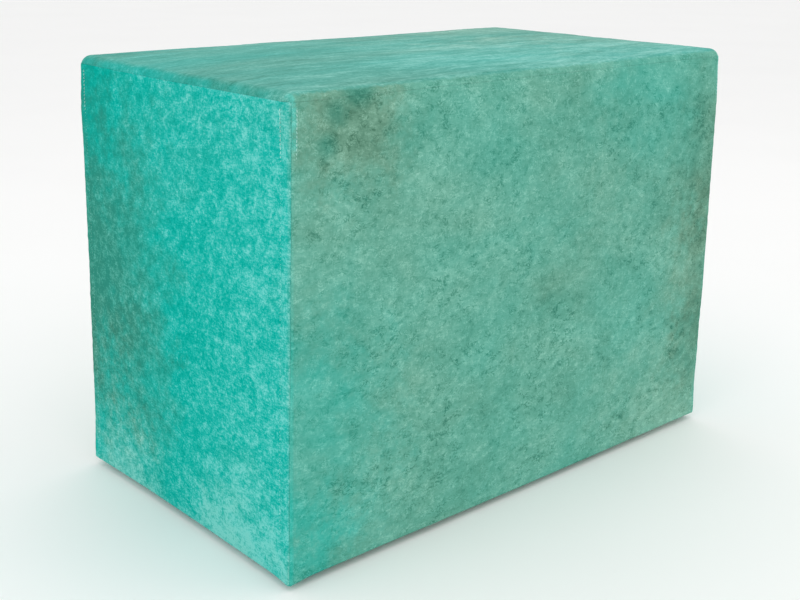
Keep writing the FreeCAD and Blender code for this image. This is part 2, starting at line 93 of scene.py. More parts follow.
# Where hands, feet and a tight seam have left the padding a little out of true:
# a place in halves of the block (x, y, and z from 0 to 1), a push in mm, and its reach in metres.
TUGS = (
    ((-1, -1, 1.0), (1.3, -1.1, 0.0), 0.14),
    ((-1, -1, 0.0), (-1.7, 1.4, -0.3), 0.14),
    ((-1, -1, 0.0), (-0.6, -0.3, -2.2), 0.013),
    ((-1, 1, 0.55), (1.8, 0.0, 0.0), 0.13),
    ((0.1, -1, 0.0), (0.0, 0.3, -1.4), 0.20),
    ((-1, 0.1, 0.0), (2.4, 0.0, 0.0), 0.12),
    ((1, -1, 0.35), (2.6, 0.0, 0.0), 0.14),
    ((0.3, 1, 1.0), (0.0, -0.8, -0.8), 0.16),
    ((-1, 0.2, 1.0), (0.6, 0.0, -1.1), 0.10),
)


def side_half(side):
    """(half of the side's length, how far out it stands)."""
    return (HALF[0], HALF[1]) if side in ("front", "back") else (HALF[1], HALF[0])


def smooth(value, low, high):
    step = np.clip((value - low) / (high - low), 0, 1)
    return step * step * (3 - 2 * step)


def bump(value, centre, width):
    return np.exp(-(((value - centre) / width) ** 2) / 2)


def waver(along, shortest, longest, seed, waves=7):
    """A wandering line between about -1 and 1, with wavelengths from shortest to longest."""
    draw = np.random.default_rng(seed)
    total = np.zeros_like(along)
    for _ in range(waves):
        length = math.exp(draw.uniform(math.log(shortest), math.log(longest)))
        total = total + np.sin(2 * math.pi * along / length + draw.uniform(0, 2 * math.pi))
    return total / math.sqrt(waves / 2) / 2


def ripple(first, second, shortest, longest, seed, waves=9):
    """A wandering surface between about -1 and 1."""
    draw = np.random.default_rng(seed)
    total = np.zeros(np.broadcast(first, second).shape)
    for _ in range(waves):
        length = math.exp(draw.uniform(math.log(shortest), math.log(longest)))
        turn = draw.uniform(0, math.pi)
        across = first * math.cos(turn) + second * math.sin(turn)
        total = total + np.sin(2 * math.pi * across / length + draw.uniform(0, 2 * math.pi))
    return total / math.sqrt(waves / 2) / 2


# ---- the rounded block
# Down the cloth of a side: round the top edge, down the wall, round the hem, in along the flap.
ARC = TOP_EDGE * SEAM_ANGLE
WALL = TOP_Z - TOP_EDGE - HEM_Z - HEM_EDGE
HEM_TURN = HEM_EDGE * math.pi / 2
ROW_STOPS = tuple(np.cumsum((ARC, WALL, HEM_TURN, FLAP - HEM_EDGE)))


def profile(down):
    """A side's upright section, by the way down the cloth from the top seam: (inset from the
    outermost face, height, tilt of the outward way)."""
    tilt = np.where(down < ARC, SEAM_ANGLE - down / TOP_EDGE, 0.0)
    hem = np.clip(down - ARC - WALL, 0, HEM_TURN) / HEM_EDGE
    tilt = np.where(down > ARC + WALL, -hem, tilt)
    inside = np.clip(down - ARC - WALL - HEM_TURN, 0, None)
    straight = np.clip(down - ARC, 0, WALL)
    inset = np.where(down < ARC, TOP_EDGE * (1 - np.cos(tilt)), HEM_EDGE * (1 - np.cos(hem)))
    height = np.where(
        down < ARC,
        TOP_Z - TOP_EDGE + TOP_EDGE * np.sin(tilt),
        TOP_Z - TOP_EDGE - straight - HEM_EDGE * np.sin(hem),
    )
    return inset + inside, height, tilt


def stretch(low, high, step):
    """Evenly spaced places from low to high, about a step apart."""
    return np.linspace(low, high, max(2, round((high - low) / step) + 1))


def side_rows(step, hem_step):
    """Places down a side's cloth."""
    steps = (min(step, ARC / 2), step, hem_step, max(step, 4 * MM))
    parts = zip((0, *ROW_STOPS), ROW_STOPS, steps)
    return np.concatenate([[0.0], *(stretch(*part)[1:] for part in parts)])


def side_columns(side, step, fine, fine_zone):
    """Places along a side: beyond the straight part they run on round the corners."""
    straight = side_half(side)[0] - CORNER
    corner = CORNER * math.pi / 4
    ends = stretch(straight - fine_zone, straight, fine)
    middle = stretch(-(straight - fine_zone), straight - fine_zone, step)
    outer = stretch(straight, straight + corner, min(fine, corner / 2))
    return np.concatenate([-outer[::-1], -ends[::-1][1:], middle[1:-1], ends[:-1], outer])


def side_surface(side, columns, rows):
    """Points, outward ways and distances from the upright seams, as grids of rows by columns."""
    length, depth = side_half(side)
    straight = length - CORNER
    across, down = np.meshgrid(columns, rows)
    inset, height, tilt = profile(down)
    wide = CORNER + (TOP_CORNER - CORNER) * smooth(height, SEAM_Z - CORNER_EASE, SEAM_Z)
    wide = wide - (CORNER - HEM_CORNER) * (1 - smooth(height, HEM_Z, HEM_Z + CORNER_EASE))
    radius = np.maximum(wide - inset, LEAST_CORNER)
    centre = inset + radius
    angle = np.sign(across) * np.clip(np.abs(across) - straight, 0, None) / CORNER
    flat = np.clip(across, -straight, straight) * (length - centre) / straight
    along = flat + radius * np.sin(angle)
    out = depth - centre + radius * np.cos(angle)
    way, away = np.array(ALONG[side]), np.array(OUTWARD[side])
    place = along[..., None] * way + out[..., None] * away
    lean = np.sin(angle)[..., None] * way + np.cos(angle)[..., None] * away
    points = np.concatenate([place, height[..., None]], -1)
    normals = np.concatenate([lean * np.cos(tilt)[..., None], np.sin(tilt)[..., None]], -1)
    seam = wide * (math.pi / 4 - np.abs(angle)) + (length - centre) - np.abs(flat)
    return points, normals, seam


TOP_ARC = TOP_EDGE * (math.pi / 2 - SEAM_ANGLE)
TOP_ZONE = TOP_ARC + TOP_CORNER - TOP_EDGE  # from the seam to the corners' centres


def top_reach(axis):
    """Half of the top cloth's size, measured over its rounded edge."""
    return TOP_ZONE + HALF[axis] - TOP_CORNER


def top_places(axis, step, fine):
    reach = top_reach(axis)
    edge = stretch(reach - TOP_ZONE, reach, fine)
    middle = stretch(-(reach - TOP_ZONE), reach - TOP_ZONE, step)
    return np.concatenate([-edge[::-1], middle[1:-1], edge])


def top_surface(columns, rows):
    """The same for the top: the grid's square corners are drawn round into quarter circles."""
    across, back = np.meshgrid(columns, rows)
    from_x = top_reach(0) - np.abs(across)
    from_y = top_reach(1) - np.abs(back)
    seam = np.minimum(from_x, from_y)
    turn = np.clip(SEAM_ANGLE + seam / TOP_EDGE, 0, math.pi / 2)
    inset = TOP_EDGE * (1 - np.cos(turn)) + np.clip(seam - TOP_ARC, 0, TOP_CORNER - TOP_EDGE)
    radius = np.where(seam < TOP_ZONE, TOP_CORNER - inset, 0)
    leg = np.maximum(TOP_ZONE - seam, 1e-9)
    share = np.clip((np.maximum(from_x, from_y) - seam) / leg, 0, 1)
    angle = math.pi / 4 * (1 + np.where(from_x < from_y, share, -share))
    centre_x = HALF[0] - TOP_CORNER - np.clip(from_x - TOP_ZONE, 0, None)
    centre_y = HALF[1] - TOP_CORNER - np.clip(from_y - TOP_ZONE, 0, None)
    sign_x, sign_y = np.sign(across), np.sign(back)
    place_x = sign_x * (centre_x + radius * np.sin(angle))
    place_y = sign_y * (centre_y + radius * np.cos(angle))
    points = np.stack([place_x, place_y, TOP_Z - TOP_EDGE * (1 - np.sin(turn))], -1)
    flat = np.cos(turn)
    normals = np.stack(
        [sign_x * np.sin(angle) * flat, sign_y * np.cos(angle) * flat, np.sin(turn)], -1
    )
    return points, normals, seam


# ---- meshes from arrays
def joined(parts):
    """The points and the faces of several parts as those of one."""
    points, faces = zip(*parts)
    starts = np.cumsum([0] + [len(part) for part in points[:-1]])
    return np.concatenate(points), np.concatenate([f + at for f, at in zip(faces, starts)])


def panel_faces(grid):
    """Four-cornered faces between the neighbours in a grid of point numbers."""
    low, high = grid[:-1], grid[1:]
    corners = (low[:, :-1], high[:, :-1], high[:, 1:], low[:, 1:])
    return np.stack([corner.ravel() for corner in corners], 1)


def placed(name, data):
    """An object in the scene, made of this data."""
    piece = bpy.data.objects.new(name, data)
    scene.collection.objects.link(piece)
    return piece


def mesh_object(name, points, faces):
    """An object from an array of points and an array of four-cornered faces."""
    mesh = bpy.data.meshes.new(name)
    mesh.vertices.add(len(points))
    mesh.vertices.foreach_set("co", np.asarray(points, np.float32).ravel())
    mesh.loops.add(faces.size)
    mesh.loops.foreach_set("vertex_index", faces.ravel().astype(np.int32))
    mesh.polygons.add(len(faces))
    mesh.polygons.foreach_set("loop_start", np.arange(0, faces.size, 4, dtype=np.int32))
    mesh.update(calc_edges=True)
    mesh.validate()
    mesh.shade_smooth()
    return placed(name, mesh)


def sheet_object(name, outer, inner):
    """A closed sheet between two grids of points of the same shape."""
    count = outer.shape[0] * outer.shape[1]
    order = np.arange(count).reshape(outer.shape[:2])
    rim = np.concatenate([order[0, :], order[1:, -1], order[-1, -2::-1], order[-2:0:-1, 0]])
    following = np.roll(rim, -1)
    sides = np.stack([rim, following, following + count, rim + count], 1)
    faces = np.concatenate([panel_faces(order), panel_faces(order + count)[:, ::-1], sides])
    return mesh_object(name, np.concatenate([outer.reshape(-1, 3), inner.reshape(-1, 3)]), faces)


def welded(grids, tolerance=1e-5):
    """One list of points for several grids that share edges, and each grid's numbers in it."""
    stacked = np.concatenate([grid.reshape(-1, 3) for grid in grids])
    keys = np.round(stacked / tolerance).astype(np.int64)
    _, first, number = np.unique(keys, axis=0, return_index=True, return_inverse=True)
    number = number.ravel()
    counts = np.cumsum([0] + [grid.shape[0] * grid.shape[1] for grid in grids])
    indices = [
        number[counts[i] : counts[i + 1]].reshape(grid.shape[:2]) for i, grid in enumerate(grids)
    ]
    return stacked[first], indices


# ---- the padding's swell
COARSE = 16 * MM
SWELL_PRESSURE = 0.045
SWELL_FRAMES = 20
SWELL_CAP = 5.0 * MM
HELD_BELOW = HEM_Z + HEM_EDGE + 1 * MM


def coarse_columns(side):
    return side_columns(side, COARSE, 7 * MM, 14 * MM)


def coarse_top_places(axis, side):
    """Places on the top that meet the columns of the side below its edge."""
    straight = side_half(side)[0] - CORNER
    columns = coarse_columns(side)
    middle = columns[np.abs(columns) < straight + MM] * (HALF[axis] - TOP_CORNER) / straight
    edge = HALF[axis] - TOP_CORNER + np.array([0.5, 1.0]) * TOP_ZONE
    return np.concatenate([-edge[::-1], middle, edge])


def coarse_panels():
    """The cover without its flaps, panel by panel: places along, places down, and points."""
    panels = {}
    for side in SIDES:
        columns = coarse_columns(side)
        rows = side_rows(COARSE, 4 * MM)
        rows = rows[rows < ROW_STOPS[1] + 0.1 * MM]
        panels[side] = (columns, rows, side_surface(side, columns, rows)[0])
    columns, rows = coarse_top_places(0, "front"), coarse_top_places(1, "right")
    panels["top"] = (columns, rows, top_surface(columns, rows)[0])
    return panels


def simulated(points, faces):
    """Where the cloth's points end up when the padding presses out against it."""
    piece = mesh_object("swell", points, faces)
    held = piece.vertex_groups.new(name="held")
    held.add([i for i, p in enumerate(points) if p[2] < HELD_BELOW], 1.0, "REPLACE")
    cloth = piece.modifiers.new("Cloth", "CLOTH")
    settings = cloth.settings
    settings.quality = 6
    settings.mass = 0.4
    settings.tension_stiffness = settings.compression_stiffness = 40
    settings.shear_stiffness = 20
    settings.bending_stiffness = 4
    settings.use_pressure = True
    settings.uniform_pressure_force = SWELL_PRESSURE
    settings.vertex_group_mass = "held"
    settings.effector_weights.gravity = 0
    cloth.collision_settings.use_collision = False
    for step in range(1, SWELL_FRAMES + 1):
        scene.frame_set(step)
    shaped = piece.evaluated_get(bpy.context.evaluated_depsgraph_get()).to_mesh()
    moved = np.empty(len(points) * 3, np.float32)
    shaped.vertices.foreach_get("co", moved)
    scene.frame_set(1)
    bpy.data.objects.remove(piece)
    return moved.reshape(-1, 3).astype(float)


def swell():
    """Each panel's places along, places down, and how far the padding moves them."""
    panels = coarse_panels()
    names = list(panels)
    points, indices = welded([panels[name][2] for name in names])
    ways = [*indices[:-1], indices[-1][::-1]]  # the top's rows run the other way round
    push = simulated(points, np.concatenate([panel_faces(grid) for grid in ways])) - points
    size = np.linalg.norm(push, axis=1, keepdims=True)
    push = push * np.minimum(1, SWELL_CAP / np.maximum(size, 1e-9))
    return {name: (*panels[name][:2], push[grid]) for name, grid in zip(names, indices)}


def eased(values, old, new, axis):
    """Values at new places along one axis of a grid, by smooth curves through the old ones."""
    values = np.moveaxis(values, axis, 0)
    slope = np.gradient(values, old, axis=0)
    spot = np.clip(np.searchsorted(old, new, side="right") - 1, 0, len(old) - 2)
    gap = old[spot + 1] - old[spot]
    share = np.clip((new - old[spot]) / gap, 0, 1)
    shape = (-1,) + (1,) * (values.ndim - 1)
    share, gap = share.reshape(shape), gap.reshape(shape)
    square, cube = share**2, share**3
    result = (
        (2 * cube - 3 * square + 1) * values[spot]
        + (cube - 2 * square + share) * gap * slope[spot]
        + (3 * square - 2 * cube) * values[spot + 1]
        + (cube - square) * gap * slope[spot + 1]
    )
    return np.moveaxis(result, 0, axis)


SWELL = swell()


def swell_at(panel, columns, rows):
    old_columns, old_rows, push = SWELL[panel]
    return eased(eased(push, old_columns, columns, 1), old_rows, rows, 0)


def tugged(points):
    """How far the tugs move these points. What lies under the block stays where it is stapled."""
    total = np.zeros_like(points)
    for spot, push, reach in TUGS:
        centre = np.array([spot[0] * HALF[0], spot[1] * HALF[1], HEM_Z + spot[2] * (TOP_Z - HEM_Z)])
        size = np.exp(-(np.linalg.norm(points - centre, axis=-1) ** 2) / (2 * reach**2))
        total = total + size[..., None] * np.array(push) * MM
    edge = np.minimum(HALF[0] - np.abs(points[..., 0]), HALF[1] - np.abs(points[..., 1]))
    under = smooth(edge, 4 * MM, 16 * MM) * (points[..., 2] < HEM_Z + HEM_EDGE)
    return total * (1 - under)[..., None]


# ---- the sewn cover
SIDE_STEP = 4.6 * MM
ROW_STEP = STITCH_PITCH / 2
TOP_STEP = 3.4 * MM
FINE_STEP = 1.2 * MM
SEAM_ZONE = 14 * MM


def rolled_edge(seam):
    """The cloth's edge rolls down into the seam over the first bit of its width."""
    near = np.clip(1 - seam / TURN, 0, 1)
    return -GROOVE * (1 - np.sqrt(1 - near**2))


def topstitched(seam, along, row, seed):
    """The relief beside a topstitched seam: doubled cloth, stitch channel, puff and puckers."""
    band = ALLOWANCE * smooth(seam, TURN, 2 * TURN) * (1 - smooth(seam, 0.8 * row, row))
    dimple = 0.7 + 0.3 * np.cos(2 * math.pi * along / STITCH_PITCH)
    channel = -CHANNEL * bump(seam, row, CHANNEL_WIDTH) * dimple
    puff = 0.25 * MM * bump(seam, row + 6 * MM, 4 * MM)
    pucker = 0.2 * MM * waver(along, 8 * MM, 26 * MM, seed) * np.exp(-seam / (18 * MM))
    return rolled_edge(seam) + band + channel + puff + pucker


def top_seam(seam, along, reach):
    """The relief beside the seam round the top, the same on both sides of it. It fades towards
    the corners; along and reach are a place on that edge and the edge's half length."""
    ridge = 0.2 * MM * bump(seam, 3.5 * MM, 2 * MM)
    pucker = 0.22 * MM * waver(along, 9 * MM, 34 * MM, 61) * np.exp(-seam / (16 * MM))
    return (ridge + pucker) * smooth(reach - np.abs(along), 6 * MM, 30 * MM)


def slack(first, second, seed):
    """The cloth isn't quite taut, and its pile is uneven."""
    broad = 0.32 * MM * ripple(first, second, 60 * MM, 190 * MM, seed)
    small = 0.07 * MM * ripple(first, second, 9 * MM, 24 * MM, seed + 1, 14)
    return broad + small


def cloth_panel(name, points, normals, push, relief):
    """A panel as a closed sheet: a detailed outer face over a plain inner one."""
    moved = points + push + tugged(points)
    outer = moved + normals * relief[..., None]
    inner = moved - normals * 0.8 * CLOTH
    return sheet_object(name, outer, inner)


def side_push(side, columns, rows):
    """The swell, faded out round the hem."""
    push = swell_at(side, columns, np.minimum(rows, ROW_STOPS[1]))
    return push * (1 - smooth(rows, ROW_STOPS[1] - 4 * MM, ROW_STOPS[2]))[:, None, None]


def side_relief(side, points, seam, down):
    """How far the cloth of a side stands proud of its smooth shape."""
    seed = 10 + 10 * SIDES.index(side)
    along = points[..., 0 if side in ("front", "back") else 1]
    flat = 1 - smooth(down, ROW_STOPS[1], ROW_STOPS[2])
    sewn = topstitched(seam, points[..., 2], STITCH_ROWS[side], seed)
    loose = slack(along, down, seed + 2) * smooth(down, 0, TOP_ZONE) * flat
    top = top_seam(down, along, side_half(side)[0])
    return sewn * flat + rolled_edge(seam) * (1 - flat) + loose + top


def side_panel(side):
    columns = side_columns(side, SIDE_STEP, FINE_STEP, SEAM_ZONE)
    rows = side_rows(ROW_STEP, 1.3 * MM)
    points, normals, seam = side_surface(side, columns, rows)
    relief = side_relief(side, points, seam, np.meshgrid(columns, rows)[1])
    push = side_push(side, columns, rows)
    return cloth_panel("cover_" + side + "_cloth", points, normals, push, relief)


def top_panel():
    columns, rows = top_places(0, TOP_STEP, FINE_STEP), top_places(1, TOP_STEP, FINE_STEP)[::-1]
    points, normals, seam = top_surface(columns, rows)
    across, back = np.meshgrid(columns, rows)
    ends = top_reach(0) - np.abs(across) < top_reach(1) - np.abs(back)
    sewn = np.where(
        ends, top_seam(seam, points[..., 1], HALF[1]), top_seam(seam, points[..., 0], HALF[0])
    )
    relief = sewn + slack(across, back, 62) * smooth(seam, 0, TOP_ZONE)
    return cloth_panel("cover_top_cloth", points, normals, swell_at("top", columns, rows), relief)


# ---- the thread
def tube(path, normals, radius):
    """Six-sided rings of points round a short path, closed at both ends."""
    sides = 6
    way = np.gradient(path, axis=0)
    way /= np.linalg.norm(way, axis=1, keepdims=True)
    second = np.cross(way, normals)
    second /= np.linalg.norm(second, axis=1, keepdims=True)
    first = np.cross(second, way)
    angle = (np.arange(sides) * 2 * math.pi / sides)[None, :, None]
    ring = np.cos(angle) * first[:, None] + np.sin(angle) * second[:, None]
    points = (path[:, None] + ring * radius[:, None, None]).reshape(-1, 3)
    rings = np.arange(len(path) - 1)[:, None] * sides
    corner = (rings + np.arange(sides)).ravel()
    beside = (rings + (np.arange(sides) + 1) % sides).ravel()
    faces = np.stack([corner, beside, beside + sides, corner + sides], 1)
    start, end = np.arange(sides)[::-1], np.arange(sides) + (len(path) - 1) * sides
    caps = [ring[list(four)] for ring in (start, end) for four in ((0, 1, 2, 3), (0, 3, 4, 5))]
    return points, np.concatenate([faces, np.array(caps)])


def beside_seam(side, end, rows):
    """Where a row of stitches runs: points on the cloth at one distance from the upright seam,
    however wide the corner is at that height, and the way out at each."""
    edge = side_half(side)[0] - CORNER + CORNER * math.pi / 4
    columns = end * np.linspace(edge - 3 * STITCH_ROWS[side], edge, 60)
    points, normals, seam = side_surface(side, columns, rows)
    line = np.arange(len(rows))
    after = np.argmax(seam < STITCH_ROWS[side], axis=1)
    near, far = seam[line, after], seam[line, after - 1]
    share = ((far - STITCH_ROWS[side]) / (far - near))[:, None]
    spots = points[line, after - 1] * (1 - share) + points[line, after] * share
    return spots, normals[line, after]


def stitch_row(side, end, seed):
    """The stitches of one row, beside the seam at that end (-1 or 1) of a side."""
    draw = np.random.default_rng(seed)
    column = end * (side_half(side)[0] - CORNER + CORNER * math.pi / 4 - STITCH_ROWS[side])
    arch = np.array([-1.0, -0.72, -0.3, 0.3, 0.72, 1.0])
    lift = np.array([-0.5, 0.2, 0.36, 0.36, 0.2, -0.5]) * MM
    width = np.array([0.45, 0.9, 1.0, 1.0, 0.9, 0.45]) * THREAD
    middles = np.arange(2 * STITCH_PITCH, ROW_STOPS[1] - STITCH_PITCH, STITCH_PITCH)
    jitter = draw.normal(0, 0.08 * MM, (len(middles), 1))
    slant = draw.normal(0, 0.14 * MM, (len(middles), 1)) * arch
    spots = middles[:, None] + jitter + arch * STITCH_LENGTH / 2
    base, out = beside_seam(side, end, spots.ravel())
    moved = base + tugged(base) + swell_at(side, np.array([column]), spots.ravel())[:, 0]
    way = np.array([*ALONG[side], 0])
    sunk = SUNK[side] * smooth(middles, 0.7 * PILE_CLOSES, PILE_CLOSES)
    rise = (lift - sunk[:, None]).ravel()
    rise = rise + side_relief(side, base, STITCH_ROWS[side], spots.ravel())
    path = moved + out * rise[:, None] + slant.ravel()[:, None] * way
    path = path.reshape(len(middles), len(arch), 3)
    return joined([tube(*pair, width) for pair in zip(path, out.reshape(path.shape))])


def corner_thread(corner, rows):
    """Both rows of topstitching at one upright seam, as one piece."""
    made = [stitch_row(side, end, 70 + number) for number, (side, end) in enumerate(rows)]
    return mesh_object("topstitch_" + corner, *joined(made))


THREADS = {
    "front_left": (("left", 1), ("front", -1)),
    "front_right": (("front", 1), ("right", -1)),
    "back_right": (("right", 1), ("back", -1)),
    "back_left": (("back", 1), ("left", -1)),
}


# ---- foam and the cloth underneath
FOAM_STEP = 6 * MM
FOAM_ROUGH = 0.3 * MM
CUT_EDGE = 1 * MM  # where foam meets foam or wood
WORN_EDGE = TOP_CORNER - CLOTH  # where only the cloth holds it


def box_grids(low, high, step):
    """The six faces of a box as grids of points, each seen from outside."""
    axes = [stretch(low[i], high[i], step) for i in range(3)]
    grids = []
    for axis in range(3):
        first, second = axes[(axis + 1) % 3], axes[(axis + 2) % 3]
        across, up = np.meshgrid(first, second)
        for place, flip in ((low[axis], False), (high[axis], True)):
            grid = np.empty(across.shape + (3,))
            grid[..., axis] = place
            grid[..., (axis + 1) % 3] = across
            grid[..., (axis + 2) % 3] = up
            grids.append(grid[::-1] if flip else grid)
    return grids


def rounded_block(low, high, low_edges, high_edges, step):
    """A closed box whose edges are rounded by one radius for each of its six faces: its points,
    the way out at each, and its faces."""
    points, indices = welded(box_grids(low, high, step))
    core = np.clip(points, low + low_edges, high - high_edges)
    radii = np.where(points < (low + high) / 2, low_edges, high_edges)
    away = (points - core) / radii
    away /= np.linalg.norm(away, axis=1, keepdims=True)
    return core + away * radii, away, np.concatenate([panel_faces(grid) for grid in indices])


def nearest_push(panel, points):
    """The cover's swell beside these points of the padding under it."""
    old_columns, old_rows, push = SWELL[panel]
    if panel == "top":
        columns, rows = points[:, 0], points[:, 1]
    else:
        columns, rows = points[:, :2] @ np.array(ALONG[panel]), SEAM_Z - points[:, 2]
    column = np.interp(columns, old_columns, np.arange(len(old_columns)))
    row = np.interp(rows, old_rows, np.arange(len(old_rows)))
    left = np.minimum(column.astype(int), len(old_columns) - 2)
    low = np.minimum(row.astype(int), len(old_rows) - 2)
    across, down = (column - left)[:, None], (row - low)[:, None]
    upper = push[low, left] * (1 - across) + push[low, left + 1] * across
    lower = push[low + 1, left] * (1 - across) + push[low + 1, left + 1] * across
    return upper * (1 - down) + lower * down


def foam_edges(panel):
    """How far the pad's edges are rounded, at its low faces and at its high faces."""
    low, high = np.full(3, CUT_EDGE), np.full(3, CUT_EDGE)
    if panel == "top":
        low[:2] = high[:2] = WORN_EDGE
        high[2] = TOP_EDGE - CLOTH
    else:
        low[2] = HEM_EDGE
    if panel in ("front", "back"):
        low[0] = high[0] = WORN_EDGE
        (low if panel == "front" else high)[1] = WORN_EDGE
    return low, high


def foam_pad(name):
    """A foam pad that fills the space under its cloth: it swells on the outside and lies flat
    on the wood. Its cut faces are a little rough, and its corners are worn round."""
    panel = name.split("_")[0]
    low, high = (np.array(corner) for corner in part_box(name))
    points, away, faces = rounded_block(low, high, *foam_edges(panel), FOAM_STEP)
    if panel == "top":
        free = (points[:, 2] - low[2]) / (high[2] - low[2])
    else:
        out = points @ np.array([*OUTWARD[panel], 0])
        free = (out - out.min()) / np.ptp(out)
    rough = ripple(points[:, 0] + points[:, 2], points[:, 1] - points[:, 2], 14 * MM, 45 * MM, 90)
    push = nearest_push(panel, points) + tugged(points)
    points = points + push * free[:, None] - away * (FOAM_ROUGH * (1 + rough))[:, None]
    return mesh_object(panel + "_foam", points, faces)


SHEET_STEP = 4 * MM
TUCK = 12 * MM  # the folded edge of the cloth underneath
SAG = 1.6 * MM


def closing_cloth():
    """The thin cloth under the block: folded edges, a slight sag, puckers between its staples."""
    low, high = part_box("underside_cloth")
    columns = stretch(low.x, high.x, SHEET_STEP)
    rows = stretch(low.y, high.y, SHEET_STEP)[::-1]
    across, back = np.meshgrid(columns, rows)
    edge = np.minimum(high.x - np.abs(across), high.y - np.abs(back))
    run = np.where(high.x - np.abs(across) < high.y - np.abs(back), back, across)
    free = smooth(edge, 55 * MM, 130 * MM)
    sag = SAG * free * (1 + 0.3 * ripple(across, back, 60 * MM, 200 * MM, 95))
    fold = 0.12 * MM * bump(edge, TUCK, 0.8 * MM)
    pucker = 0.1 * MM * waver(run, 20 * MM, 60 * MM, 96) * bump(edge, 30 * MM, 12 * MM)
    upper = high.z - sag
    thick = (high.z - low.z) * (1 - 0.2 * smooth(edge, TUCK, TUCK + 2 * MM))
    lower = upper - thick - fold - np.abs(pucker)
    top = np.stack([across, back, upper], -1)
    bottom = np.stack([across, back, lower], -1)
    return sheet_object("underside_dust_cloth", top, bottom)


# ---- materials
class Look:
    """A material's node tree, built up call by call."""

    def __init__(self, name):
        self.material = bpy.data.materials.new(name)
        self.material.use_nodes = True
        self.tree = self.material.node_tree
        self.tree.nodes.clear()
        self.place = self.node("TexCoord").outputs["Object"]

    def node(self, kind, sockets=(), **settings):
        made = self.tree.nodes.new("ShaderNode" + kind)
        for key, value in settings.items():
            setattr(made, key, value)
        for key, value in dict(sockets).items():
            if isinstance(value, bpy.types.NodeSocket):
                self.tree.links.new(value, made.inputs[key])
            else:
                made.inputs[key].default_value = value
        return made

    def shifted(self, place, offset):
        return self.node("Mapping", {"Vector": place, "Location": offset}).outputs[0]

    def drawn(self, axis, share, others=1.0):
        """The place, squeezed along one axis, so that what is drawn there is drawn out."""
        scale = [share if number == axis else others for number in range(3)]
        return self.node("Mapping", {"Vector": self.place, "Scale": scale}).outputs[0]

    def xyz(self):
        return self.node("SeparateXYZ", {"Vector": self.place}).outputs

    def noise(self, place, scale, detail=2.0, roughness=0.5, distortion=0.0):
        sockets = {"Vector": place, "Scale": scale, "Detail": detail}
        sockets.update({"Roughness": roughness, "Distortion": distortion})
        return self.node("TexNoise", sockets).outputs["Fac"]

    def math(self, how, first, second=0.0):
        return self.node("Math", {0: first, 1: second}, operation=how).outputs[0]

    def add(self, *values):
        total = values[0]
        for value in values[1:]:
            total = self.math("ADD", total, value)
        return total

    def times(self, first, second):
        return self.math("MULTIPLY", first, second)

    def about(self, value, amount, middle=0.5):
        """A value's swing about its middle, times amount."""
        return self.times(self.math("SUBTRACT", value, middle), amount)

    def between(self, value, low, high):
        """0 below low, 1 above high, and smooth between."""
        sockets = {"Value": value, "From Min": low, "From Max": high}
        return self.node("MapRange", sockets, interpolation_type="SMOOTHSTEP").outputs[0]

    def ramp(self, value, stops):
        """A colour for each value: stops are (place, colour)."""
        made = self.node("ValToRGB", {"Fac": value})
        points = made.color_ramp.elements
        while len(points) < len(stops):
            points.new(0.5)
        for point, (spot, colour) in zip(points, stops):
            point.position = spot
            point.color = (*colour, 1.0)
        return made.outputs[0]

    def mix(self, share, first, second, how="MIX"):
        sockets = {0: share, 6: first, 7: second}
        return self.node("Mix", sockets, data_type="RGBA", blend_type=how).outputs[2]

    def bump(self, height, distance, strength=1.0):
        sockets = {"Height": height, "Distance": distance, "Strength": strength}
        return self.node("Bump", sockets).outputs[0]

    def finish(self, colour, roughness, normal=None, **constants):
        sockets = {"Base Color": colour, "Roughness": roughness}
        if normal is not None:
            sockets["Normal"] = normal
        sockets.update({key.replace("_", " "): value for key, value in constants.items()})
        shader = self.node("BsdfPrincipled", sockets)
        self.node("OutputMaterial", {"Surface": shader.outputs[0]})
        return self.material


def shade(red, green, blue):
    """A colour given as it looks on a screen, 0 to 255, as the light values that nodes use."""
    parts = (red / 255, green / 255, blue / 255)
    return tuple(p / 12.92 if p <= 0.04045 else ((p + 0.055) / 1.055) ** 2.4 for p in parts)


def even_stops(*colours):
    return tuple((i / (len(colours) - 1), shade(*colour)) for i, colour in enumerate(colours))


def patch(look, centre, reach):
    """1 at a place on the cloth, fading to 0 at its reach, with a ragged edge."""
    sockets = {0: look.place, 1: centre}
    away = look.node("VectorMath", sockets, operation="DISTANCE").outputs["Value"]
    ragged = look.about(look.noise(look.place, 30, 4, 0.7), 1.3 * reach)
    return look.between(look.add(away, ragged), reach, 0.15 * reach)


def wisps(look, place, scale, width):
    """Thin wandering lines of pile, broken up into short strands."""
    field = look.noise(place, scale, 2, 0.5, 1.6)
    line = look.between(look.math("ABSOLUTE", look.about(field, 2.0)), width, 0.0)
    gaps = look.between(look.noise(place, 0.7 * scale, 2), 0.44, 0.6)
    return look.times(line, gaps)


WEAVE = 640  # how fine the weave is

# The same cloth with its pile stroked up, where it is vivid, and stroked down, where it is dull. How
# much of the dull one a place is given carries painted light and shade as well as the pile's lean.
# Each goes from the darkest tone, 0, to the lightest, 1.
VIVID = even_stops((0, 157, 142), (0, 170, 155), (24, 180, 167), (72, 196, 185), (112, 211, 202))
DULL = even_stops((66, 112, 90), (92, 139, 117), (116, 163, 141), (140, 187, 165), (168, 211, 191))


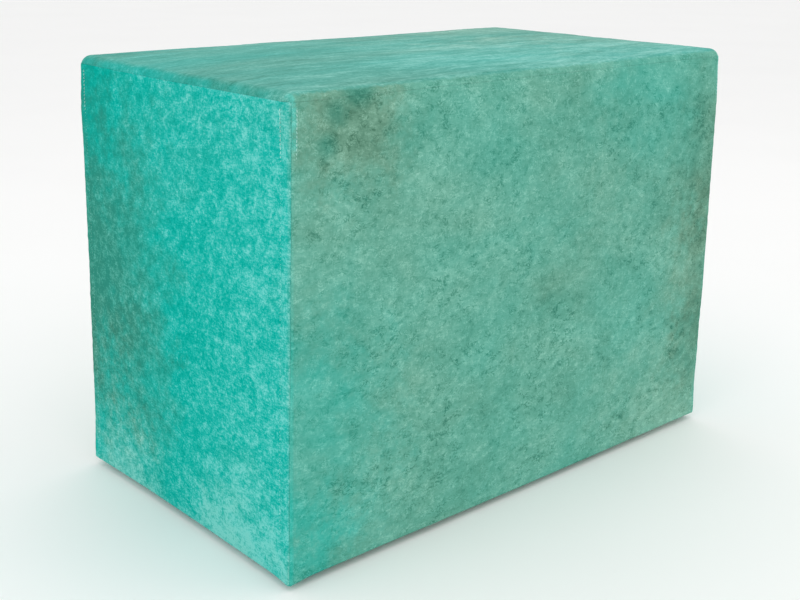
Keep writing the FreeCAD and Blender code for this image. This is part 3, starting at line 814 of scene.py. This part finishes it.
def pile(
    look, grain, stroke, dull, swing, mottle, blotch, fineness, strands,
    patches=(), lean=(0, 0), edges=None, rim=(), seed=0.0, painted_face_shade=(1.0, 1.0, 1.0),
):
    """Brushed pile over a plain weave: its colour and its height.

    grain: the axis its streaks run along, and stroke: how short they are
    dull: how far the pile is stroked down, and swing: how much that wanders
    mottle, strands: how strong its mottles and its loose strands are
    blotch: how many of the widest mottles go to a metre, and fineness: how strong the finer are
    patches, rim: (place, reach, added dullness, added tone); a rim's act only below the crest. Some
    patches are painted light and some painted shade, and a rim is painted shade on a rolled edge
    lean: the dullness and the tone gained along the grain, from the middle to an end
    edges: the dullness and tone added beside the upright edges, over what width, the dullness
    added there near the top, and the tone of a painted highlight on the rounded top edge,
    down to just below the top seam
    seed: where in the noise it is cut from, and tint: what its colour is multiplied by, a painted
    shade that darkens the whole panel
    """
    original = look.place
    look.place = look.shifted(look.place, (seed, 0.7 * seed, 1.3 * seed))
    streaks = look.drawn(grain, stroke)
    other = look.shifted(streaks, (4.1, 2.3, 7.7))
    mottles = look.noise(streaks, blotch, 5, fineness, 0.15)
    dullness = look.noise(other, 9, 4, 0.6, 0.3)
    crowd = look.between(look.noise(look.place, 16, 4, 0.6), 0.42, 0.66)
    light = wisps(look, streaks, 210, 0.15)
    dark = wisps(look, other, 150, 0.17)
    weft = look.noise(look.drawn(grain, 0.3), WEAVE, 1)
    warp = look.noise(look.drawn(grain, 1.0, 0.35), WEAVE, 1)
    look.place = original
    parts = look.xyz()
    along = look.times(parts[grain], 1 / HALF[grain])
    share = look.add(dull, look.about(dullness, swing), look.times(along, lean[0]))
    tone = look.add(
        0.5,
        look.times(along, lean[1]),
        look.about(mottles, mottle),
        look.times(light, strands),
        look.times(look.times(dark, look.add(0.7, crowd)), -1.1 * strands),
        look.about(weft, 0.25 * mottle),
        look.about(warp, 0.2 * mottle),
    )
    for number, (centre, reach, add_dull, add_tone) in enumerate((*patches, *rim)):
        there = patch(look, centre, reach)
        # A rim, acting only on the rolled edge below the crest, is painted shade.
        if number >= len(patches):
            there = look.times(look.between(parts[2], TOP_Z - 0.5 * MM, TOP_Z - 5 * MM), there)
        share = look.add(share, look.times(there, add_dull))
        tone = look.add(tone, look.times(there, add_tone))
    if edges is not None:
        band_dull, band_tone, width, top_dull, painted_seam_highlight = edges
        upright = look.math("SUBTRACT", HALF[grain], look.math("ABSOLUTE", parts[grain]))
        top = look.math("SUBTRACT", TOP_Z, parts[2])
        band = look.between(upright, 1.3 * width, 0.9 * width)
        # Partly painted light: on the rounded upright corners the dullness moves towards a middle
        # value, passing from one face's light to the next. The strip beside them near the top is
        # likewise partly painted light, partly the pile's lean.
        roll = look.between(upright, 0.8 * CORNER, 0.3 * CORNER)
        # Painted highlight: a side's rounded top edge, down to just below its seam, is made lighter.
        seam = look.between(top, 1.25 * (TOP_Z - SEAM_Z), 1.1 * (TOP_Z - SEAM_Z))
        high = look.between(top, PILE_CLOSES, 0.8 * PILE_CLOSES)
        share = look.add(share, look.times(band, band_dull), look.times(roll, 0.5 * (0.4 - dull)))
        strip = look.times(look.times(band, high), look.between(mottles, 0.36, 0.58))
        share = look.add(share, look.times(strip, top_dull))
        tone = look.add(tone, look.times(strip, -0.3 * top_dull))
        tone = look.add(tone, look.times(band, band_tone), look.times(seam, painted_seam_highlight))
    colour = look.mix(share, look.ramp(tone, VIVID), look.ramp(tone, DULL))
    fibres = look.noise(look.place, 1300, 2, 0.6)
    height = look.add(
        look.times(weft, 0.4), look.times(warp, 0.4), look.times(fibres, 0.4), look.times(tone, 0.35)
    )
    # Painted shade: the whole panel's colour is multiplied down by tint.
    return look.mix(1.0, colour, (*painted_face_shade, 1.0), "MULTIPLY"), height


def cloth_look(name, sheen, settings, front=None):
    """A panel's material. The top's takes over the front's colour below its front crest."""
    look = Look(name)
    colour, height = pile(look, *settings[0], **settings[1])
    if front is not None:
        parts = look.xyz()
        ragged = look.about(look.noise(look.place, 160, 3, 0.7), 5 * MM)
        low = look.between(look.add(parts[2], ragged), TOP_Z - 1 * MM, TOP_Z - 4 * MM)
        forward = look.between(parts[1], -HALF[1] + 14 * MM, -HALF[1] + 10 * MM)
        inward = look.between(parts[0], -HALF[0] + 2 * MM, -HALF[0] + 9 * MM)
        there = look.times(look.times(low, forward), inward)
        colour = look.mix(there, colour, pile(look, *front[0], **front[1])[0])
    return look.finish(
        colour,
        0.95,
        look.bump(height, 0.3 * MM, 0.5),
        Sheen_Weight=sheen,
        Sheen_Roughness=0.5,
        Sheen_Tint=(0.7, 0.97, 0.95, 1.0),
        Specular_IOR_Level=0.03,
    )


def cloth_looks():
    """One look for each panel, each with its own colour: partly as the pile leans another way on
    each, partly painted light, each face given the brightness and hue of the light on it. Each
    starts with pile's grain, stroke, dull, swing, mottle, blotch, fineness and strands."""
    side, end = HALF
    front = (0, 0.7, 0.72, 0.6, 0.95, 18, 0.9, 0.24), {
        "patches": (
            ((-side + 0.075, -end, 0.475), 0.10, 0.3, -0.12),
            ((-side + 0.055, -end, 0.485), 0.022, -0.2, -0.2),
            ((-side + 0.045, -end, 0.455), 0.022, -0.2, -0.2),
            ((-side + 0.085, -end, 0.505), 0.03, -0.25, -0.2),
            ((-side + 0.17, -end, 0.46), 0.05, 0.0, -0.08),
            ((0.02, -end, 0.45), 0.09, 0.05, -0.09),
            ((0.06, -end, 0.25), 0.08, 0.05, -0.09),
            ((-side, -end, 0.14), 0.20, -0.26, -0.02),
            ((-side, -end, 0.02), 0.12, -0.25, 0.02),
            ((0.22, -end, 0.46), 0.18, -0.12, -0.06),
            # Painted shade: the front's right end is made duller and darker.
            ((side, -end, 0.36), 0.14, 0.22, -0.2),
            ((side, -end, 0.23), 0.14, 0.2, -0.1),
            ((side, -end, 0.12), 0.12, 0.14, -0.2),
            ((0.25, -end, 0.02), 0.14, 0.1, 0.12),
        ),
        "edges": (0.0, 0.02, 8 * MM, -0.5, 0.0),
    }
    left = (1, 0.8, 0.0, 0.5, 2.7, 72, 0.97, 0.08), {
        "patches": (
            ((-side, 0.19, 0.27), 0.27, 0.46, -0.26),
            ((-side, 0.06, 0.15), 0.12, 0.14, -0.08),
            ((-side, 0.20, 0.13), 0.12, 0.14, 0.05),
            ((-side, 0.19, 0.46), 0.12, 0.0, -0.2),
            ((-side, -0.04, 0.26), 0.17, -0.12, -0.05),
            ((-side, 0.13, -0.02), 0.14, 0.22, 0.45),
            ((-side, -0.10, -0.02), 0.15, 0.17, 0.45),
        ),
        "lean": (0.0, -0.16),
        # Painted shade: the whole left panel is made a little darker.
        "painted_face_shade": (0.96, 0.93, 0.94),
        "edges": (0.04, 0.02, 13.5 * MM, 0.1, 0.08),
    }
    back = (0, 0.7, 0.66, 0.9, 0.95, 18, 0.9, 0.24), {
        "patches": (
            ((0.16, end, 0.30), 0.14, 0.2, -0.1),
            ((-0.22, end, 0.12), 0.12, -0.25, 0.03),
        ),
        "edges": (0.0, 0.02, 9 * MM, -0.3, 0.0),
        "seed": 3.1,
    }
    right = (1, 0.8, 0.25, 1.0, 2.5, 72, 0.97, 0.08), {
        "patches": (((side, -0.05, 0.33), 0.13, 0.3, -0.1),),
        "edges": (0.08, 0.04, 13.5 * MM, 0.1, 0.1),
        "seed": 5.7,
    }
    top = (0, 0.22, 0.45, 0.9, 2.3, 16, 0.97, 0.16), {
        "patches": (
            # Painted light: the top is made paler towards its far right corner.
            ((side, end, TOP_Z), 0.45, 0.3, 0.04),
            ((-side, 0.12, TOP_Z), 0.14, -0.1, -0.1),
            ((0.1, -end, TOP_Z), 0.35, 0.0, 0.2),
        ),
        # Painted shade: the top's rolled edge near its left end is made deeper and more saturated.
        "rim": (((-side, 0.05, SEAM_Z), 0.3, -0.3, -0.08),),
        "seed": 1.3,
        # Painted shade: the whole top is made darker.
        "painted_face_shade": (0.85, 0.85, 0.87),
    }
    settings = {
        "front": (0.08, front),
        "left": (0.0, left),
        "back": (0.08, back),
        "right": (0.04, right),
        "top": (0.17, top, front),
    }
    return {name: cloth_look("cloth_" + name, *given) for name, given in settings.items()}


def thread_look():
    look = Look("thread")
    sockets = {"Vector": look.place, "Scale": 700, "Distortion": 1.0}
    twist = look.node("TexWave", sockets).outputs["Fac"]
    tone = look.add(look.times(twist, 0.4), look.noise(look.place, 240, 2))
    colour = look.ramp(tone, ((0.2, shade(120, 205, 192)), (0.9, shade(196, 238, 230))))
    return look.finish(colour, 0.55, look.bump(twist, 0.08 * MM), Sheen_Weight=0.2)


def foam_look():
    look = Look("open_cell_foam")
    cells = look.node("TexVoronoi", {"Vector": look.place, "Scale": 900}).outputs[0]
    clouds = look.noise(look.place, 14, 3)
    tone = look.add(look.about(cells, 0.5), clouds)
    colour = look.ramp(
        tone, ((0.2, (0.62, 0.5, 0.27)), (0.5, (0.82, 0.74, 0.5)), (0.8, (0.9, 0.86, 0.66)))
    )
    return look.finish(colour, 0.95, look.bump(cells, 0.3 * MM), Sheen_Weight=0.1)


PLY = 1.4 * MM


def plywood_look(name, thin):
    """Birch plywood: grain on its faces, and the plies' stripes on its edges. thin is the axis
    through the board."""
    look = Look(name)
    streaks = look.drawn(0 if thin != 0 else 1, 0.06)
    figure = look.noise(streaks, 36, 5, 0.6, 0.8)
    pores = look.noise(streaks, 620, 2, 0.6)
    ply = look.math("PINGPONG", look.xyz()[thin], PLY)
    stripe = look.between(ply, 0.6 * MM, 0.8 * MM)
    tone = look.add(look.times(figure, 0.7), look.times(pores, 0.3), look.times(stripe, -0.3))
    colour = look.ramp(
        tone, ((0.2, (0.36, 0.2, 0.09)), (0.5, (0.62, 0.43, 0.24)), (0.75, (0.74, 0.56, 0.35)))
    )
    rough = look.between(figure, -1.5, 2.5)
    return look.finish(colour, rough, look.bump(pores, 0.12 * MM, 0.6))


def pine_look(name, grain):
    """Planed softwood, with its rings drawn out along the grain."""
    look = Look(name)
    streaks = look.drawn(grain, 0.05)
    sockets = {"Vector": streaks, "Scale": 55, "Distortion": 5.0, "Detail": 3.0, "Detail Scale": 1.2}
    rings = look.node("TexWave", sockets).outputs["Fac"]
    fibre = look.noise(streaks, 700, 2)
    tone = look.add(look.times(rings, 0.6), look.times(fibre, 0.4))
    colour = look.ramp(
        tone, ((0.15, (0.52, 0.29, 0.12)), (0.5, (0.74, 0.51, 0.28)), (0.85, (0.84, 0.65, 0.4)))
    )
    return look.finish(colour, look.between(fibre, -1.0, 2.2), look.bump(fibre, 0.15 * MM, 0.5))


def nonwoven_look():
    look = Look("nonwoven")
    fibres = look.noise(look.place, 520, 4, 0.7, 2.0)
    dots = look.node("TexVoronoi", {"Vector": look.place, "Scale": 420}).outputs[0]
    tone = look.add(look.times(fibres, 0.8), look.times(dots, 0.3))
    colour = look.ramp(tone, ((0.25, (0.012, 0.012, 0.013)), (0.85, (0.07, 0.07, 0.072))))
    return look.finish(colour, 0.85, look.bump(tone, 0.12 * MM), Sheen_Weight=0.15)


def rubber_look():
    look = Look("foot_rubber")
    dust = look.noise(look.place, 90, 4, 0.6)
    fine = look.noise(look.place, 1400, 2)
    colour = look.ramp(dust, ((0.35, (0.018, 0.018, 0.018)), (0.75, (0.06, 0.058, 0.054))))
    return look.finish(colour, look.between(dust, -0.9, 1.3), look.bump(fine, 0.05 * MM))


def steel_look():
    look = Look("zinc_steel")
    clouds = look.noise(look.place, 160, 4, 0.6)
    brushed = look.noise(look.drawn(2, 0.12), 2200, 2)
    colour = look.ramp(clouds, ((0.3, (0.5, 0.5, 0.47)), (0.7, (0.74, 0.74, 0.72))))
    rough = look.between(look.add(clouds, look.about(brushed, 0.4)), -0.2, 1.8)
    return look.finish(colour, rough, look.bump(brushed, 0.02 * MM), Metallic=1.0)


def dress_frame():
    """Materials for the CAD nodes that stay in view."""
    walls = {"front_panel": 1, "back_panel": 1, "left_end_panel": 0, "right_end_panel": 0}
    walls |= {"centre_rib": 0, "top_board": 2}
    ply = [plywood_look("birch_plywood_" + axis, number) for number, axis in enumerate("xyz")]
    pine = [pine_look("pine_" + axis, number) for number, axis in enumerate("xyz")]
    rubber, steel = rubber_look(), steel_look()
    for name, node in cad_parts.items():
        if name in walls:
            finish = ply[walls[name]]
        elif name.startswith("corner_post"):
            finish = pine[2]
        elif name.startswith("base_rail"):
            finish = pine[0 if name.endswith(("front", "back")) else 1]
        elif name.startswith("foot_") and not name.endswith(("washers", "screws")):
            finish = rubber
        else:
            finish = steel
        node.data.materials.clear()
        node.data.materials.append(finish)


# ---- building it
def on_frame(piece, finish, slot, *nodes):
    piece.data.materials.append(finish)
    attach(piece, BODY)
    if nodes:
        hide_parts(*nodes)
    return piece


def build_soft_parts():
    looks = cloth_looks()
    for side in SIDES:
        panel = on_frame(side_panel(side), looks[side], "cover_cloth", "cover_" + side)
    top = on_frame(top_panel(), looks["top"], "cover_cloth", "cover_top")
    foam = foam_look()
    for panel in (*SIDES, "top"):
        pad = on_frame(foam_pad(panel + "_pad"), foam, "foam", panel + "_pad")
    under = on_frame(closing_cloth(), nonwoven_look(), "nonwoven", "underside_cloth")
    thread = thread_look()
    for corner, rows in THREADS.items():
        on_frame(corner_thread(corner, rows), thread, "cover_cloth")


# ---- studio and camera
FLOOR_REACH = 14.0
LAMPS_AIM = (0, 0, 0.25)


def floor():
    """A pale floor, dipping very slightly away from the block at its far edges."""
    steps = stretch(-FLOOR_REACH, FLOOR_REACH, 1.0)
    across, back = np.meshgrid(steps, steps)
    far = np.clip(np.hypot(across, back) - 6, 0, None)
    points = np.stack([across, back, -0.002 * far], -1)[::-1]
    faces = panel_faces(np.arange(across.size).reshape(across.shape))
    piece = mesh_object("studio_floor", points.reshape(-1, 3), faces)
    look = Look("studio_floor")
    tone = look.noise(look.place, 1.7, 3)
    colour = look.ramp(tone, ((0.3, (0.94, 0.94, 0.935)), (0.7, (0.955, 0.955, 0.95))))
    piece.data.materials.append(look.finish(colour, 0.7, Specular_IOR_Level=0.2))


def soft_light(name, place, size, power, colour):
    data = bpy.data.lights.new(name, "AREA")
    data.shape = "RECTANGLE"
    data.size, data.size_y = size
    data.energy = power
    data.color = colour
    light = placed(name, data)
    light.location = place
    way = Vector(LAMPS_AIM) - Vector(place)
    light.rotation_euler = way.to_track_quat("-Z", "Y").to_euler()


def studio():
    """Soft white light from all round, and three weak lamps."""
    floor()
    world = bpy.data.worlds.new("studio")
    world.use_nodes = True
    sky = world.node_tree.nodes["Background"]
    sky.inputs["Color"].default_value = (1.0, 1.0, 1.0, 1.0)
    sky.inputs["Strength"].default_value = 0.95
    scene.world = world
    soft_light("overhead", (0.3, -0.4, 2.8), (2.6, 2.2), 8, (1.0, 1.0, 1.0))
    soft_light("window_left", (-2.6, -0.3, 1.3), (1.8, 1.8), 9, (0.92, 1.0, 1.0))
    soft_light("room_right", (2.0, -2.4, 1.2), (1.6, 1.6), 7, (1.0, 0.95, 0.88))
    scene.view_settings.view_transform = "Standard"


CAMERA_PLACE = (-1.0285, -1.082, 0.6635)
CAMERA_TURN = math.radians(-41.7)
CAMERA_DIP = math.radians(14.2)
CAMERA_ROLL = math.radians(0.76)


def camera():
    data = bpy.data.cameras.new("camera")
    data.sensor_width = 36
    data.lens = 55.04
    data.shift_x = 0.03125
    data.shift_y = -0.09
    data.clip_start = 0.02
    piece = placed("camera", data)
    turn = Matrix.Rotation(CAMERA_TURN, 4, "Z") @ Matrix.Rotation(math.pi / 2 - CAMERA_DIP, 4, "X")
    piece.matrix_world = (
        Matrix.Translation(CAMERA_PLACE) @ turn @ Matrix.Rotation(CAMERA_ROLL, 4, "Z")
    )
    scene.camera = piece


camera()
studio()
dress_frame()
build_soft_parts()
